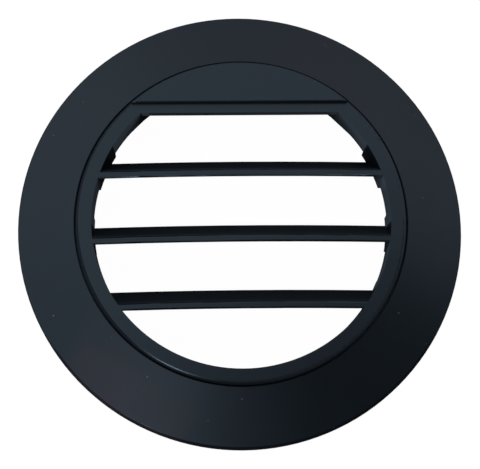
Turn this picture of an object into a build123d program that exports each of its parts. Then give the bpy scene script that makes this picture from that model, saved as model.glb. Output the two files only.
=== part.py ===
from build123d import *
import os
from math import asin, degrees, hypot, radians, tan

# Round heater air outlet: a conical flange with a duct collar, and a louvre insert that turns in it.
# Millimetres. The axis is +Z, out of the wall. z = 0 is the wall surface, and the insert's brow is at +Y.

# Flange and collar
flange_diameter = 96.0
flange_rise = 7.7       # height of the flange's inner edge above the wall
flange_wall = 2.0
rim_edge = 1.4          # upright edge at the rim
rim_round = 0.4
seam_bevel = 0.2        # broken edge of the flange beside the seam
collar_diameter = 75.0  # the duct is pushed over it
collar_wall = 1.5
collar_length = 10.5    # below the wall surface
collar_lead = 0.6       # bevel at the collar's end
collar_taper = 2.0      # length over which the housing's wall runs into the collar
housing_wall = 2.5      # wall around the insert, thicker than the collar, so that the duct stops at it
shelf_thickness = 2.0   # ring inside the housing that carries the insert

# Louvre insert: disc, lip and brow
insert_diameter = 70.4
face_stand = 0.8        # the disc's face stands this far above the flange's inner edge
disc_thickness = 2.9
disc_round = 0.85
ring_width = 3.35       # face of the disc around the opening
lip_depth = 5.6         # wall around the opening, measured from the face
lip_taper = 0.3         # the lip narrows by this much from front to back
lip_wall = 1.95
brow_depth = 8.15       # the brow closes the top of the opening by this much
brow_thickness = 2.0
bar_width = 2.2         # strip between the opening's straight edge and the raised part of the brow
brow_rise = 0.9
brow_inset = 0.35       # the raised part stops short of the disc's edge
brow_round = 0.3

# Slats
slat_count = 3
slat_pitch = 14.36
slat_middle = -4.2      # front edge of the middle slat
slat_edge = 1.6         # front edge, measured across the slats
slat_depth = 8.5
slat_angle = 26.0       # from the axis, leaning back towards the brow
slat_round = 0.35
slat_bow = 0.5          # the slats are bowed towards the brow in the middle
cheek_over = 1.25       # the lip is as deep as a slat at its ends, and past it by this much towards the brow

# Snap hooks that hold the insert under the shelf
hook_count = 4
hook_start = 45.0
hook_width = 6.0
hook_catch = 0.7        # how far a barb reaches under the shelf
hook_flat = 0.5
hook_length = 2.2       # from the shelf's underside to the tip

# Clearances
seam_gap = 0.25         # disc to flange
bore_gap = 0.3          # lip and hooks to the shelf's bore
hook_gap = 0.15         # barbs to the shelf's underside
hook_room = 1.5         # barbs to the housing's wall

# Heights and radii that follow
flange_radius = flange_diameter / 2
collar_radius = collar_diameter / 2
collar_bore = collar_radius - collar_wall
insert_radius = insert_diameter / 2
recess_radius = insert_radius + seam_gap
opening_radius = insert_radius - ring_width
brow_edge = opening_radius - brow_depth
brow_chord = brow_edge + bar_width
face_height = flange_rise + face_stand
shelf_height = face_height - disc_thickness
shelf_underside = shelf_height - shelf_thickness
lip_back = opening_radius - lip_taper
lip_outer = lip_back + lip_wall
lip_height = face_height - lip_depth
shelf_bore = lip_outer + bore_gap
barb_reach = shelf_bore + hook_catch
housing_bore = barb_reach + hook_room
housing_radius = housing_bore + housing_wall
flange_slope = (flange_rise - rim_edge) / (flange_radius - recess_radius)
wall_drop = flange_wall * hypot(1, flange_slope)
land_radius = flange_radius - (wall_drop - rim_edge) / flange_slope  # the rim meets the wall out here
hollow_height = (land_radius - housing_radius) * flange_slope
slat_lean = slat_depth * tan(radians(slat_angle))
bow_radius = (insert_radius**2 + slat_bow**2) / (2 * slat_bow)
bow_angle = degrees(asin(insert_radius / bow_radius))
slat_places = [slat_middle + slat_pitch * (i - (slat_count - 1) / 2) for i in range(slat_count)]

os.makedirs("parts", exist_ok=True)

# Base: conical flange, hollow behind, with the insert's housing and the duct collar in one moulding
with BuildPart() as base:
    with BuildSketch(Plane.XZ) as base_section:
        with BuildLine():
            Polyline(
                (recess_radius, shelf_height),
                (recess_radius, flange_rise),
                (flange_radius, rim_edge),
                (flange_radius, 0),
                (land_radius, 0),
                (housing_radius, hollow_height),
                (housing_radius, 0),
                (housing_bore, 0),
                (housing_bore, shelf_underside),
                (shelf_bore, shelf_underside),
                (shelf_bore, shelf_height),
                close=True,
            )
        make_face()
        chamfer(base_section.vertices().sort_by(Axis.Y)[-1], seam_bevel)
        fillet(base_section.vertices().group_by(Axis.X)[-1].sort_by(Axis.Y)[-1], rim_round)
        with BuildLine():
            Polyline(
                (housing_bore, 0),
                (housing_bore + collar_wall, 0),
                (collar_radius, -collar_taper),
                (collar_radius, -collar_length),
                (collar_bore, -collar_length),
                (collar_bore, -collar_taper),
                close=True,
            )
        make_face()
        chamfer(base_section.vertices().group_by(Axis.Y)[0].sort_by(Axis.X)[-1], collar_lead)
    revolve(axis=Axis.Z)
base.part.label = "base"
export_step(base.part, "parts/base.step")

# Slats: bands that lean back from the face, bowed across the opening and cut to the round of the lip
with BuildPart() as slats:
    for place in slat_places:
        with BuildSketch(Plane.YZ) as slat_section:
            with BuildLine():
                Polyline(
                    (place - slat_edge / 2, face_height),
                    (place + slat_edge / 2, face_height),
                    (place + slat_edge / 2 + slat_lean, face_height - slat_depth),
                    (place - slat_edge / 2 + slat_lean, face_height - slat_depth),
                    close=True,
                )
            make_face()
            fillet(slat_section.vertices().group_by(Axis.Y)[-1], slat_round)
        revolve(axis=Axis((0, place - bow_radius, 0), (0, 0, 1)), revolution_arc=bow_angle)
    mirror(about=Plane.YZ)
    with BuildSketch(Plane.XY.offset(face_height)):
        Circle(lip_back + lip_wall / 2)
    extrude(amount=-slat_depth, mode=Mode.INTERSECT)

# One snap hook, at angle 0
with BuildPart() as hook:
    with BuildSketch(Plane.XZ):
        with BuildLine():
            barb_top = shelf_underside - hook_gap
            hook_tip = shelf_underside - hook_length
            Polyline(
                (opening_radius, shelf_height),
                (lip_outer, shelf_height),
                (lip_outer, barb_top),
                (barb_reach, barb_top),
                (barb_reach, barb_top - hook_flat),
                (lip_outer, hook_tip),
                (opening_radius, hook_tip),
                close=True,
            )
        make_face()
    extrude(amount=hook_width / 2, both=True)

# Louvre insert: disc with its lip, brow, slats and hooks in one moulding
with BuildPart() as louvre_insert:
    with BuildSketch(Plane.XZ) as disc_section:
        with BuildLine():
            Polyline(
                (opening_radius, face_height),
                (insert_radius, face_height),
                (insert_radius, shelf_height),
                (lip_outer, shelf_height),
                (lip_outer, lip_height),
                (lip_back, lip_height),
                close=True,
            )
        make_face()
        fillet(disc_section.vertices().group_by(Axis.Y)[-1].sort_by(Axis.X)[-1], disc_round)
    revolve(axis=Axis.Z)
    # brow plate that closes the top of the opening
    with BuildSketch(Plane.XY.offset(face_height)):
        Circle(opening_radius + lip_wall / 2)
        with Locations((0, brow_edge)):
            Rectangle(insert_diameter, insert_radius, align=(Align.CENTER, Align.MIN), mode=Mode.INTERSECT)
    extrude(amount=-brow_thickness)
    # raised part of the brow, almost up to the disc's edge
    with BuildSketch(Plane.XY.offset(face_height - disc_round)):
        Circle(insert_radius - brow_inset)
        with Locations((0, brow_chord)):
            Rectangle(insert_diameter, insert_radius, align=(Align.CENTER, Align.MIN), mode=Mode.INTERSECT)
    extrude(amount=disc_round + brow_rise)
    fillet(louvre_insert.faces().sort_by(Axis.Z)[-1].edges(), brow_round)
    # cheeks at the slats' ends, where the lip goes down as deep as the slats
    for place in slat_places:
        with BuildSketch(Plane.XY.offset(lip_height)):
            Circle(lip_outer)
            Circle(lip_back, mode=Mode.SUBTRACT)
            with Locations((0, place - slat_edge / 2 - slat_bow)):
                Rectangle(
                    insert_diameter,
                    slat_edge + slat_bow + slat_lean + cheek_over,
                    align=(Align.CENTER, Align.MIN),
                    mode=Mode.INTERSECT,
                )
        extrude(amount=lip_depth - slat_depth)
    add(slats.part)
    with PolarLocations(0, hook_count, start_angle=hook_start):
        add(hook.part)
louvre_insert.part.label = "louvre_insert"
export_step(louvre_insert.part, "parts/louvre_insert.step")
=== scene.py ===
from functools import reduce
from math import cos, radians, sin, tan

import bpy
from mathutils import Matrix, Vector


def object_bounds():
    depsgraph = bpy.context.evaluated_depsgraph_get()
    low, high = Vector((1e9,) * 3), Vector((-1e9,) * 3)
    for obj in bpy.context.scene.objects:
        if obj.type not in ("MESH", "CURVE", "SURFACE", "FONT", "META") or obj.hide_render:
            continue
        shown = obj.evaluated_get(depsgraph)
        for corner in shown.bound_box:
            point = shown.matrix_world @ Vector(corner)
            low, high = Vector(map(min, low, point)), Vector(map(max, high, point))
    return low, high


# Round heater air outlet in blue-black moulded plastic, seen from above and a little from the front.
# Metres. The outlet's axis is +Z, and the brow of the louvre insert is at +Y.
# A pair of places is a stretch over which something changes. Four places are a band with soft edges.

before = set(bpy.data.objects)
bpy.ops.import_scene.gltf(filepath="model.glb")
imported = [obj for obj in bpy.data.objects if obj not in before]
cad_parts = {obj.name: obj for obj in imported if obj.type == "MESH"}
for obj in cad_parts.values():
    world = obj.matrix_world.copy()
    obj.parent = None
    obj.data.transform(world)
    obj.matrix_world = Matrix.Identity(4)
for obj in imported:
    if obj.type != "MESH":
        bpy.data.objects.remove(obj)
cad_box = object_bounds()
scene = bpy.context.scene
scene.view_settings.view_transform = "Standard"

# Camera, fitted to the photograph
IMAGE_WIDTH = 480                   # pixels
FOCAL_LENGTH = 1545.5               # pixels
SENSOR_WIDTH = 36.0                 # millimetres
CAMERA_DISTANCE = 0.336
CAMERA_TILT = radians(13.56)        # from the outlet's axis towards -Y
CAMERA_TURN = radians(-8.86)        # around the outlet's axis
CAMERA_ROLL = radians(-0.97)
AIM_LEFT = 0.00008                  # the view's centre lies this far to the left of the outlet's centre
AIM_BELOW = 0.00129                 # and this far below it
NEAREST = 0.01                      # nothing closer to the camera is drawn

# Floor
FLOOR_GAP = 0.0001                  # between the floor and the outlet's lowest point
FLOOR_HEIGHT = cad_box[0][2] - FLOOR_GAP
FLOOR_HALF = 1.5
PAPER_COLOUR = (0.5, 0.5, 0.5, 1)   # for the light that it scatters
PAPER_GLOW = 1.09                   # how bright the camera sees it
GLOW_SHARE = 0.9                    # share of the glow in what is seen or mirrored
SHADE_COLOUR = (0.62, 0.82, 1.0, 1)  # the floor in the plastic's reflections, a glow with a painted shadow
SHADE_OUTSIDE = 0.35                # how bright it is there, around the outlet
SHADE_INSIDE = 0.010                # and under it, as a painted shadow
SHADE_RADII = (0.05, 0.075)
SHADE_TOWARDS = (0.5, -0.86, 0)     # a painted shadow keeps it dark on this side
SHADE_REACH = (-0.05, 0.06)

# Surround, by the X, Y and Z of a direction
SKY = 1.12                          # radiance
SKY_Z = (0.33, 0.60)                # it is dark below these
SKY_LOWER = 0.25                    # and reaches lower by this much on the brow's side
SKY_LOWER_Y = (-0.3, 0.4)
DIMMER = 0.28                       # what it loses near the horizon, except on the left
DIMMER_Z = (0.35, 0.75)
DIMMER_X = (-0.55, -0.1)
DARK_TOWARDS = (0.42, -0.42, 0.80)  # middle of a dark shape
DARK_RING = (cos(radians(44)), cos(radians(29)))  # where the shape sets in, by the angle to its middle
DARK_RING_LIGHT = 0.2               # share of the light that is left in the shape
DARK_CORE = (cos(radians(26)), cos(radians(6)))
DARK_CORE_LIGHT = 0.35              # and of that in its middle

# Plastic
DARK_PLASTIC = (0.0036, 0.0054, 0.0083, 1)
LIGHT_PLASTIC = (0.0050, 0.0072, 0.0106, 1)
ROUGHNESS = (0.31, 0.37)
ROUGHNESS_CLOUDS = (0.3, 0.7)       # range of the clouds over which it changes
SPECULAR = 0.43
SPECULAR_TINT = (0.58, 0.79, 1.0, 1)
GRAIN_DEPTH = 0.00006
GRAIN_STRENGTH = 0.12

# Flange: a painted sheen, dust specks, and the rounded rim
FLANGE_RADIUS = cad_box[1][0]
SHEEN_SIDE = radians(236.5)          # where the painted sheen lies, around the axis from +X
# painted sheen: a paler colour that stands in for reflected light on one side of the flange
SHEEN_COLOUR = (0.0152, 0.0103, 0.0149, 1)
SHEEN_LENGTH = (-0.017, -0.012, 0.012, 0.017)  # along the rim
SHEEN_DISTANCE = (0.034, 0.042)      # it grows stronger between these distances from the axis,
SHEEN_THIN = 0.35                    # from this share
SHEEN_CLOUDS = (0.3, 0.6)
SHEEN_PATCHY = 0.5                     # share that is left where it is patchy
SPECK_COLOUR = (0.08, 0.085, 0.09, 1)
SPECK_CELLS = 150.0                 # places for a speck, per metre
SPECK_CHANCE = (0.7, 1.0)           # a place has one if its random number is past the first of these
SPECK_RADIUS = 0.00018              # the largest
RIM_BEND = 20.0                     # slope per metre from the axis
RIM_RADII = (FLANGE_RADIUS - 0.0006, FLANGE_RADIUS - 0.0005)
RIM_Y = (-0.040, -0.022)            # it shows on the side away from the brow

# Louvre insert: face, slats, and the wall around the opening
BROW_RISE = 0.0009
FACE_HEIGHT = cad_box[1][2] - BROW_RISE
FACE_UPRIGHT = (0.85, 0.97)         # Z of the normal on the face
FACE_DOME = 4.0                     # slope of the face per metre from its centre,
EDGE_BEND = 10.0                    # and what its rounded edge adds to that
EDGE_RIGHT = -1.0                   # share of it on the right, where the edge looks crisper
EDGE_UPRIGHT = (0.93, 0.99)
EDGE_RADII = (0.0341, 0.0345)
EDGE_X = (-0.005, 0.015)
SLAT_LOWEST = -0.01856              # front edge of the lowest slat
SLAT_PITCH = 0.01436
SLAT_LEAN = tan(radians(26))        # the slats lean back towards the brow
SLAT_UPRIGHT = (0.36, 0.40, 0.48, 0.52)  # Z of the normal on their upper side
SLAT_FRONT_Z = (0.0058, 0.0086)     # painted light makes them paler between these heights,
SLAT_PAINTED_LIGHT = (0.4, 0.9)          # the lower slats less than the upper one
SLAT_PAINTED_LIGHT_Y = (-0.012, 0.012)
WALL_UPRIGHT = (0.1, 0.3)           # a face with less than this stands upright
WALL_RADII = (0.0306, 0.0309, 0.0322, 0.0326)
POCKET = (0.22, 0.40)               # dark share of the wall above the lower slats, and above the upper one
POCKET_Y = (0.004, 0.006)
POCKET_EDGE = (0.0, 0.05)
# painted light: a paler colour that lifts the shade on the wall, the brow's front and the slats' fronts
PAINTED_LIGHT_COLOUR = (0.026, 0.034, 0.042, 1)
BROW_FRONT_Y = (0.0230, 0.0234, 0.0240, 0.0244)
UNDER_SLAT = (0.70, 0.85)           # shares of the way from one slat to the next
UNDER_BROW_Y = (0.011, 0.020)
WALL_PAINTED_LIGHT = (0.25, 1.0)         # painted light on the wall away from the brow, and under it
WALL_UP = (1.45, 1.0)               # how far the wall's shading turns up between the slats, and at its top
WALL_UP_Y = (0.014, 0.022)
WALL_LEFT = (0.0, -0.10)            # to the left
WALL_BACK = (0.0, 0.7)              # and towards the brow
WALL_TOP_Y = (0.011, 0.016)

FALL = (1.0, 0.0)
FLAT = (1, 1, 0)
WHITE = (1, 1, 1, 1)


class Nodes:
    """Short calls that add shader nodes to one tree and wire them up."""

    def __init__(self, tree):
        self.tree = tree
        tree.nodes.clear()

    def add(self, kind, inputs=None, **settings):
        node = self.tree.nodes.new(kind)
        for name, value in settings.items():
            setattr(node, name, value)
        for key, value in (inputs or {}).items():
            if isinstance(value, bpy.types.NodeSocket):
                self.tree.links.new(value, node.inputs[key])
            else:
                node.inputs[key].default_value = value
        return node

    def math(self, operation, a, b=0.0):
        return self.add("ShaderNodeMath", {0: a, 1: b}, operation=operation).outputs[0]

    def product(self, *values):
        return reduce(lambda a, b: self.math("MULTIPLY", a, b), values)

    def largest(self, *values):
        return reduce(lambda a, b: self.math("MAXIMUM", a, b), values)

    def ramp(self, value, span, ends=(0.0, 1.0), kind="SMOOTHSTEP"):
        """Goes from the first end to the second while the value crosses the span."""
        (low, high), (first, second) = span, ends
        values = {"Value": value, "From Min": low, "From Max": high, "To Min": first, "To Max": second}
        return self.add("ShaderNodeMapRange", values, interpolation_type=kind).outputs["Result"]

    def band(self, value, places):
        """1 inside a band with soft edges, 0 outside."""
        return self.product(self.ramp(value, places[:2]), self.ramp(value, places[2:], FALL))

    def noise(self, vector, scale, detail, roughness):
        values = {"Vector": vector, "Scale": scale, "Detail": detail, "Roughness": roughness}
        return self.add("ShaderNodeTexNoise", values).outputs["Fac"]

    def specks(self, vector):
        """1 inside a few round specks, 0 elsewhere."""
        values = {"Vector": vector, "Scale": SPECK_CELLS}
        cells = self.add("ShaderNodeTexVoronoi", values, voronoi_dimensions="2D").outputs
        chance = self.split(cells["Color"])["X"]
        reach = self.ramp(chance, SPECK_CHANCE, (0.0, SPECK_RADIUS * SPECK_CELLS), "LINEAR")
        return self.math("LESS_THAN", cells["Distance"], reach)

    def vector(self, operation, a, b=(0, 0, 0)):
        return self.add("ShaderNodeVectorMath", {0: a, 1: b}, operation=operation).outputs["Vector"]

    def scale(self, a, factor):
        return self.add("ShaderNodeVectorMath", {0: a, "Scale": factor}, operation="SCALE").outputs["Vector"]

    def length(self, a):
        return self.add("ShaderNodeVectorMath", {0: a}, operation="LENGTH").outputs["Value"]

    def dot(self, a, b):
        return self.add("ShaderNodeVectorMath", {0: a, 1: b}, operation="DOT_PRODUCT").outputs["Value"]

    def split(self, a):
        """The X, Y and Z of a vector."""
        return self.add("ShaderNodeSeparateXYZ", {0: a}).outputs

    def mix(self, factor, a, b, kind="RGBA"):
        values = {"Factor": factor, "A": a, "B": b}
        return self.add("ShaderNodeMix", values, data_type=kind).outputs["Result"]

    def mix_shaders(self, factor, a, b):
        return self.add("ShaderNodeMixShader", {"Fac": factor, 1: a, 2: b}).outputs["Shader"]


def clouds(n, place):
    """Broad, uneven patches in the plastic's skin."""
    return n.noise(place, scale=45.0, detail=4.0, roughness=0.6)


def flange_finish(n, place, normal, colour):
    """A paler patch painted along one stretch of the rim as a sheen of reflected light, a few dust specks,
    and a rounded lower edge.
    """
    flat = n.vector("MULTIPLY", place, FLAT)
    outward = n.dot(flat, (cos(SHEEN_SIDE), sin(SHEEN_SIDE), 0))
    around = n.dot(flat, (-sin(SHEEN_SIDE), cos(SHEEN_SIDE), 0))
    # painted sheen: a paler patch standing in for reflected light, not dust
    sheen = n.product(
        n.band(around, SHEEN_LENGTH),
        n.ramp(outward, SHEEN_DISTANCE, (SHEEN_THIN, 1.0)),
        n.ramp(clouds(n, place), SHEEN_CLOUDS, (SHEEN_PATCHY, 1.0)),
    )
    colour = n.mix(sheen, colour, SHEEN_COLOUR)
    colour = n.mix(n.specks(flat), colour, SPECK_COLOUR)
    slope = n.product(
        n.ramp(n.length(flat), RIM_RADII, (0.0, RIM_BEND)),
        n.ramp(n.split(flat)["Y"], RIM_Y, FALL),
    )
    bent = n.vector("ADD", normal, n.scale(flat, slope))
    return colour, n.vector("NORMALIZE", bent)


def insert_finish(n, place, normal, colour):
    """Painted light on a soft wall around the opening, on the brow's front and on the slats near their
    fronts, and a face whose shading is slightly domed.
    """
    x, y, z = n.split(place)
    flat = n.vector("MULTIPLY", place, FLAT)
    radius = n.length(flat)
    upright = n.split(normal)["Z"]
    standing = n.ramp(n.math("ABSOLUTE", upright), WALL_UPRIGHT, FALL)

    # a row goes from 0 at one slat to 1 at the next, and the space under a leaning slat ends its row
    rows = n.math("DIVIDE", n.math("SUBTRACT", y, SLAT_LOWEST), SLAT_PITCH)
    lean = n.math("MULTIPLY", n.math("SUBTRACT", FACE_HEIGHT, z), SLAT_LEAN / SLAT_PITCH)
    row = n.largest(n.math("FRACT", rows), n.math("FRACT", n.math("SUBTRACT", rows, lean)))

    # the wall around the opening, which gets painted light and lifted shading, except in the dark pockets
    # above the slats' ends
    pocket = n.ramp(y, POCKET_Y, POCKET)
    clear = n.ramp(n.math("SUBTRACT", row, pocket), POCKET_EDGE)
    wall = n.product(n.band(radius, WALL_RADII), standing, clear)

    # painted light: a paler colour on the wall under the brow and under each slat, on the brow's front, and
    # on the slats near their fronts, lifting the shade there
    wall_painted_light = n.largest(n.ramp(y, UNDER_BROW_Y, WALL_PAINTED_LIGHT), n.ramp(row, UNDER_SLAT))
    slat_painted_light = n.ramp(z, SLAT_FRONT_Z, (0.0, n.ramp(y, SLAT_PAINTED_LIGHT_Y, SLAT_PAINTED_LIGHT)))
    painted_light = n.largest(
        n.product(wall, wall_painted_light),
        n.product(n.band(y, BROW_FRONT_Y), standing),
        n.product(n.band(upright, SLAT_UPRIGHT), slat_painted_light),
    )
    colour = n.mix(painted_light, colour, PAINTED_LIGHT_COLOUR)

    # the wall turns up to the light, and the face slopes away from its centre
    lift = n.add("ShaderNodeCombineXYZ", {
        "X": n.ramp(y, WALL_TOP_Y, WALL_LEFT),
        "Y": n.ramp(y, WALL_TOP_Y, WALL_BACK),
        "Z": n.ramp(y, WALL_UP_Y, WALL_UP),
    })
    edge = n.product(
        n.ramp(upright, EDGE_UPRIGHT, (EDGE_BEND, 0.0)),
        n.ramp(radius, EDGE_RADII),
        n.ramp(x, EDGE_X, (1.0, EDGE_RIGHT)),
    )
    slope = n.math("ADD", n.ramp(upright, FACE_UPRIGHT, (0.0, FACE_DOME)), edge)
    bent = n.vector("ADD", normal, n.scale(lift.outputs["Vector"], wall))
    bent = n.vector("ADD", bent, n.scale(flat, slope))
    return colour, n.vector("NORMALIZE", bent)


def plastic(name, finish):
    """Blue-black moulded plastic with a satin, finely grained skin, and the finish of one piece."""
    material = bpy.data.materials.new(name)
    material.use_nodes = True
    n = Nodes(material.node_tree)
    texture = n.add("ShaderNodeTexCoord").outputs
    place = texture["Object"]
    cloud = clouds(n, place)
    grain = n.noise(place, scale=2600.0, detail=2.0, roughness=0.55)
    colour = n.mix(cloud, DARK_PLASTIC, LIGHT_PLASTIC)
    colour, normal = finish(n, place, texture["Normal"], colour)
    turned = n.add("ShaderNodeVectorTransform", {0: normal}, convert_from="OBJECT", convert_to="WORLD")
    bump = n.add("ShaderNodeBump", {
        "Height": grain,
        "Strength": GRAIN_STRENGTH,
        "Distance": GRAIN_DEPTH,
        "Normal": turned.outputs[0],
    })
    shader = n.add("ShaderNodeBsdfPrincipled", {
        "Base Color": colour,
        "Roughness": n.ramp(cloud, ROUGHNESS_CLOUDS, ROUGHNESS),
        "Specular IOR Level": SPECULAR,
        "Specular Tint": SPECULAR_TINT,
        "Normal": bump.outputs["Normal"],
    })
    n.add("ShaderNodeOutputMaterial", {"Surface": shader.outputs["BSDF"]})
    return material


def dress(node, material):
    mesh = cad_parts[node].data
    mesh.materials.clear()
    mesh.materials.append(material)


def floor_paper():
    """White paper, clear from below. The plastic mirrors it as a glow with a painted shadow under the outlet
    and on one side.
    """
    material = bpy.data.materials.new("floor_white")
    material.use_nodes = True
    n = Nodes(material.node_tree)
    path = n.add("ShaderNodeLightPath").outputs
    geometry = n.add("ShaderNodeNewGeometry").outputs
    place = geometry["Position"]
    radius = n.length(n.vector("MULTIPLY", place, FLAT))
    # painted shadow in the glow that the plastic mirrors: dark under the outlet and on one side
    around = n.ramp(n.dot(place, SHADE_TOWARDS), SHADE_REACH, (SHADE_OUTSIDE, SHADE_INSIDE))
    mirrored_with_painted_shadow = n.ramp(radius, SHADE_RADII, (SHADE_INSIDE, around))
    glow = n.add("ShaderNodeEmission", {
        "Color": n.mix(path["Is Camera Ray"], SHADE_COLOUR, WHITE),
        "Strength": n.mix(path["Is Camera Ray"], mirrored_with_painted_shadow, PAPER_GLOW, "FLOAT"),
    })
    paper = n.add("ShaderNodeBsdfDiffuse", {"Color": PAPER_COLOUR})
    shown = n.largest(path["Is Camera Ray"], path["Is Glossy Ray"], path["Is Transmission Ray"])
    share = n.math("MULTIPLY", shown, GLOW_SHARE)
    top = n.mix_shaders(share, paper.outputs["BSDF"], glow.outputs["Emission"])
    clear = n.add("ShaderNodeBsdfTransparent")
    surface = n.mix_shaders(geometry["Backfacing"], top, clear.outputs["BSDF"])
    n.add("ShaderNodeOutputMaterial", {"Surface": surface})
    return material


def make_floor():
    """A sheet that lies just under the outlet's lowest point."""
    sides = [(-1, -1), (1, -1), (1, 1), (-1, 1)]
    corners = [(x * FLOOR_HALF, y * FLOOR_HALF, FLOOR_HEIGHT) for x, y in sides]
    mesh = bpy.data.meshes.new("floor")
    mesh.from_pydata(corners, [], [(0, 1, 2, 3)])
    mesh.materials.append(floor_paper())
    floor = bpy.data.objects.new("floor", mesh)
    scene.collection.objects.link(floor)


def make_sky():
    """A soft bright surround that dims towards the horizon, with one dark shape in it."""
    world = bpy.data.worlds.new("studio")
    scene.world = world
    world.use_nodes = True
    n = Nodes(world.node_tree)
    direction = n.add("ShaderNodeTexCoord").outputs["Generated"]
    x, y, z = n.split(direction)
    lower = n.ramp(y, SKY_LOWER_Y, (0.0, SKY_LOWER))
    horizon = n.ramp(n.math("ADD", z, lower), SKY_Z)
    loss = n.product(n.ramp(z, DIMMER_Z, (DIMMER, 0.0)), n.ramp(x, DIMMER_X))
    dark = n.dot(direction, Vector(DARK_TOWARDS).normalized())
    strength = n.product(
        horizon,
        n.math("SUBTRACT", SKY, loss),
        n.ramp(dark, DARK_RING, (1.0, DARK_RING_LIGHT)),
        n.ramp(dark, DARK_CORE, (1.0, DARK_CORE_LIGHT)),
    )
    path = n.add("ShaderNodeLightPath").outputs
    seen = n.largest(path["Is Camera Ray"], path["Is Transmission Ray"])
    sky = n.add("ShaderNodeBackground", {"Color": WHITE, "Strength": n.mix(seen, strength, 1.0, "FLOAT")})
    n.add("ShaderNodeOutputWorld", {"Surface": sky.outputs["Background"]})


def make_lamp(name, direction, distance, size, power):
    """A round lamp that shines at the outlet from this direction."""
    lamp = bpy.data.lights.new(name, "AREA")
    lamp.shape = "DISK"
    lamp.size = size
    lamp.energy = power
    holder = bpy.data.objects.new(name, lamp)
    aim = Vector(direction).normalized()
    holder.location = aim * distance
    holder.rotation_euler = aim.to_track_quat("Z", "Y").to_euler()
    scene.collection.objects.link(holder)


def camera_axes(back):
    """The camera's right and up, rolled about its line of sight."""
    right = Vector((0, 1, 0)).cross(back).normalized()
    up = back.cross(right)
    rolled_right = right * cos(CAMERA_ROLL) + up * sin(CAMERA_ROLL)
    rolled_up = up * cos(CAMERA_ROLL) - right * sin(CAMERA_ROLL)
    return rolled_right, rolled_up


def make_camera():
    """The fitted camera. It looks a little past the outlet's centre."""
    back = Vector((
        sin(CAMERA_TILT) * sin(CAMERA_TURN),
        -sin(CAMERA_TILT) * cos(CAMERA_TURN),
        cos(CAMERA_TILT),
    ))
    eye = back * CAMERA_DISTANCE
    right, up = camera_axes(back)
    aim = right * -AIM_LEFT - up * AIM_BELOW
    back = (eye - aim).normalized()
    right, up = camera_axes(back)
    data = bpy.data.cameras.new("camera")
    data.sensor_fit = "HORIZONTAL"
    data.sensor_width = SENSOR_WIDTH
    data.lens = FOCAL_LENGTH / IMAGE_WIDTH * SENSOR_WIDTH
    data.clip_start = NEAREST
    camera = bpy.data.objects.new("camera", data)
    camera.matrix_world = Matrix((right, up, back)).transposed().to_4x4()
    camera.location = eye
    scene.collection.objects.link(camera)
    scene.camera = camera


dress("base", plastic("flange_plastic", flange_finish))
dress("louvre_insert", plastic("insert_plastic", insert_finish))
make_floor()
make_sky()
make_lamp("low_left_lamp", direction=(-0.5, -0.86, 0.25), distance=0.9, size=0.12, power=2.0)
make_camera()
